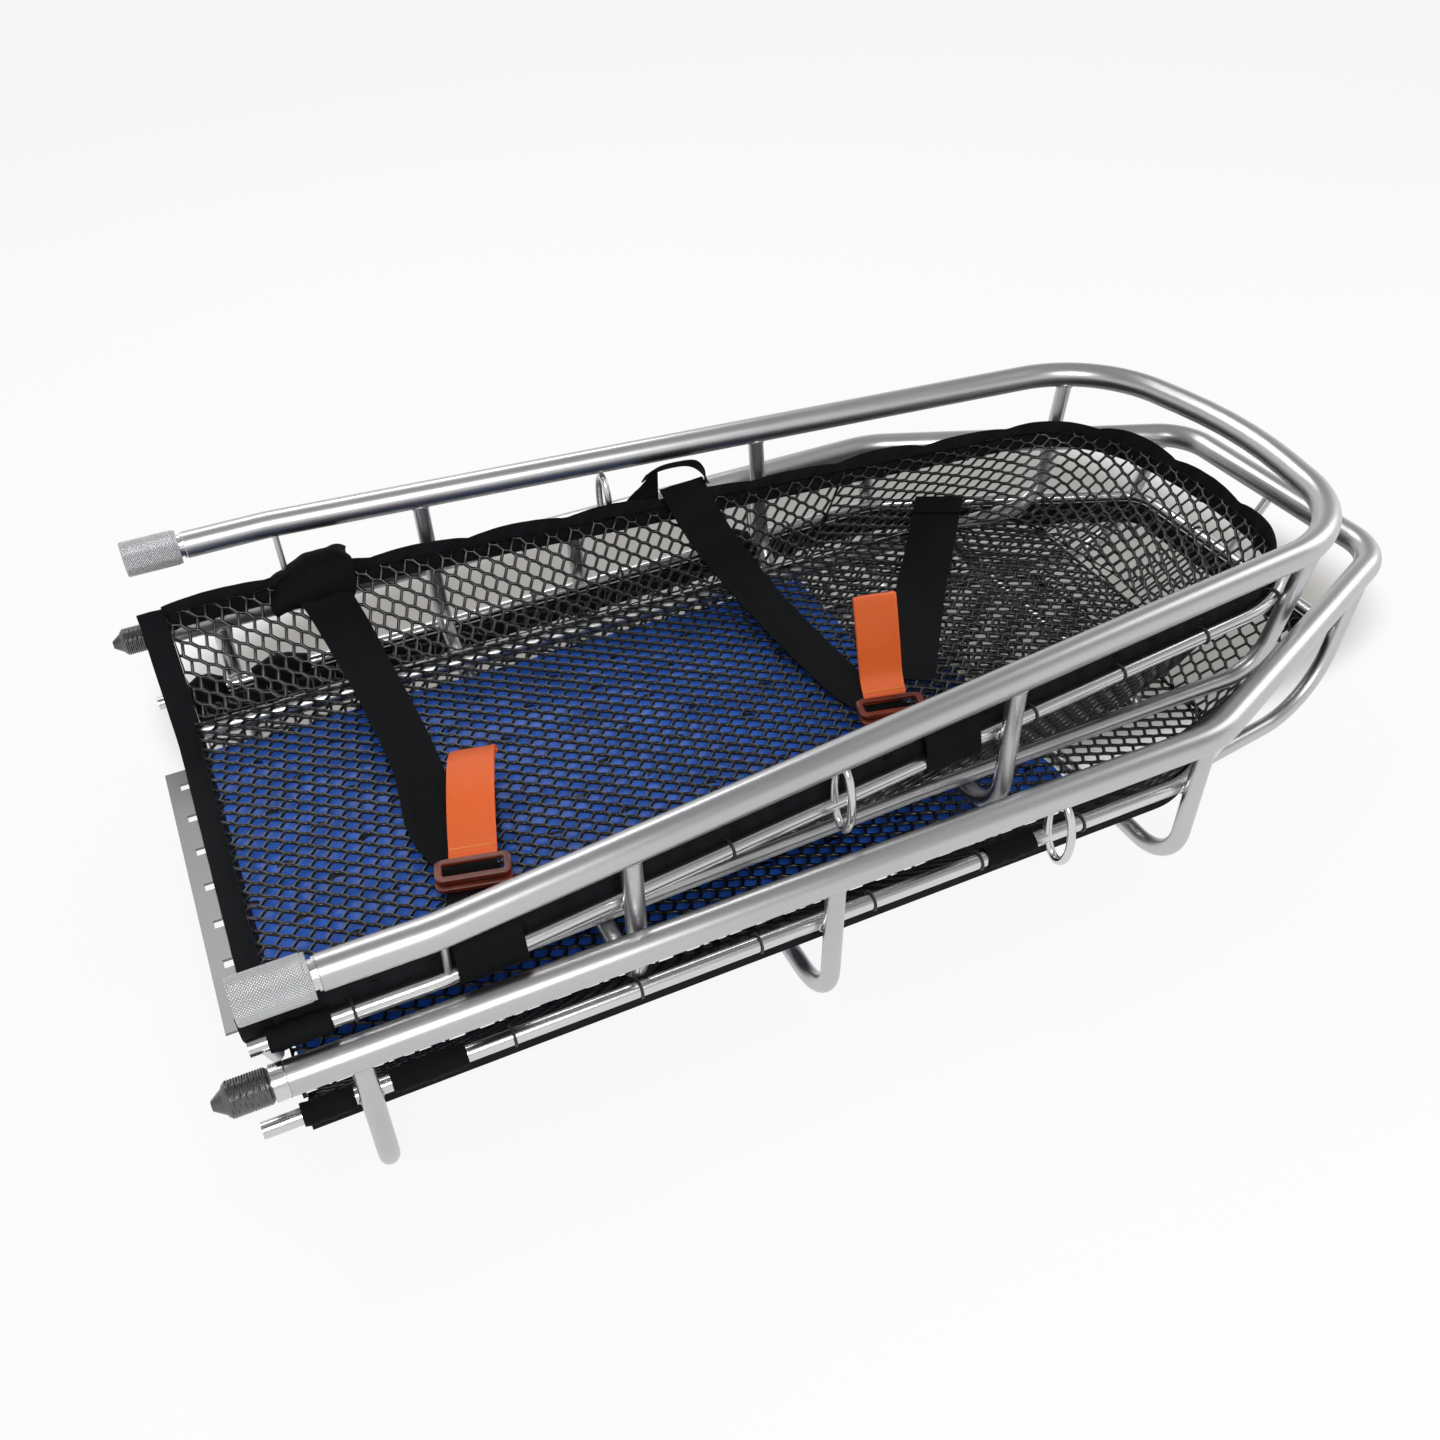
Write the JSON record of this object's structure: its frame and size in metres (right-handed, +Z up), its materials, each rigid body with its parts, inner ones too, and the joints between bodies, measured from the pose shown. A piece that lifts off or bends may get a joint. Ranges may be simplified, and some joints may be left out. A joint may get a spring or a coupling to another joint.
{
  "type": "two-part basket stretcher",
  "caption": "Tubular rescue basket in two nesting halves, with net lining, webbing straps and screw collars that join the halves end to end.",
  "frame": {"origin": "middle of the bounding box at floor level, under the lower half's ribs", "axes": "+X from the split end towards the nose, +Y to the stretcher's left side, +Z up"},
  "size_m": [1.1556, 0.618, 0.2695],
  "materials": {
    "buckle_coat": "dark red coat, semi-gloss",
    "blue_bed": "coated, satin",
    "stainless_tube": "satin stainless steel",
    "black_webbing": "woven, matte",
    "net_strand": "coated strand",
    "dark_thread": "dark machined steel",
    "orange_webbing": "woven nylon, matte",
    "knurled_collar": "fine diamond knurl, matte"
  },
  "bodies": {
    "lower_half": {"lower_bed_panel": "blue_bed", "lower_lift_ring_left": "stainless_tube", "lower_lift_ring_right": "stainless_tube", "lower_main_rail": "stainless_tube", "lower_net_binding": "black_webbing", "lower_net_floor": "net_strand", "lower_net_left": "net_strand", "lower_net_nose": "net_strand", "lower_net_rail": "stainless_tube", "lower_net_right": "net_strand", "lower_nose_post": "stainless_tube", "lower_rib_1": "stainless_tube", "lower_rib_2": "stainless_tube", "lower_rib_3": "stainless_tube", "lower_runner_left": "stainless_tube", "lower_runner_right": "stainless_tube", "lower_stud_left": "dark_thread", "lower_stud_right": "dark_thread", "lower_wrap_1": "black_webbing", "lower_wrap_2": "black_webbing", "lower_wrap_3": "black_webbing"},
    "upper_half": {"buckle_1": "buckle_coat", "buckle_2": "buckle_coat", "strap_1_far": "black_webbing", "strap_1_near": "black_webbing", "strap_2_far": "black_webbing", "strap_2_near": "black_webbing", "strap_2_tail": "black_webbing", "upper_bed_panel": "blue_bed", "upper_comb_plate": "stainless_tube", "upper_cross_tube": "stainless_tube", "upper_end_band": "black_webbing", "upper_end_hoop": "stainless_tube", "upper_ferrule_left": "stainless_tube", "upper_ferrule_right": "stainless_tube", "upper_lift_ring_left": "stainless_tube", "upper_lift_ring_right": "stainless_tube", "upper_main_rail": "stainless_tube", "upper_net_binding": "black_webbing", "upper_net_floor": "net_strand", "upper_net_left": "net_strand", "upper_net_nose": "net_strand", "upper_net_rail": "stainless_tube", "upper_net_right": "net_strand", "upper_rib_1": "stainless_tube", "upper_rib_2": "stainless_tube", "upper_runner_left": "stainless_tube", "upper_runner_right": "stainless_tube", "upper_tie_rod_left": "stainless_tube", "upper_tie_rod_right": "stainless_tube"},
    "collar_left": {"upper_collar_left": "knurled_collar"},
    "collar_right": {"upper_collar_right": "knurled_collar"},
    "pull_tab_1": {"pull_tab_1": "orange_webbing"},
    "pull_tab_2": {"pull_tab_2": "orange_webbing"}
  },
  "joints": [
    {"name": "upper_half_lift", "type": "slide", "parent": "lower_half", "child": "upper_half", "axis": [0, 0, 1], "range_m": [0, 0.35]},
    {"name": "collar_left_spin", "type": "hinge", "parent": "upper_half", "child": "collar_left", "pos_m": [-0.51885, 0.2925, 0.25295], "axis": [1, 0, 0], "continuous": true},
    {"name": "collar_right_spin", "type": "hinge", "parent": "upper_half", "child": "collar_right", "pos_m": [-0.51885, -0.2925, 0.25295], "axis": [1, 0, 0], "continuous": true},
    {"name": "pull_tab_1_fold", "type": "hinge", "parent": "upper_half", "child": "pull_tab_1", "pos_m": [-0.34872, -0.10245, 0.126], "axis": [0.9703, -0.2419, 0], "range_deg": [0, 110]},
    {"name": "pull_tab_2_fold", "type": "hinge", "parent": "upper_half", "child": "pull_tab_2", "pos_m": [0.05628, -0.07495, 0.126], "axis": [0.9703, -0.2419, 0], "range_deg": [0, 60]}
  ]
}
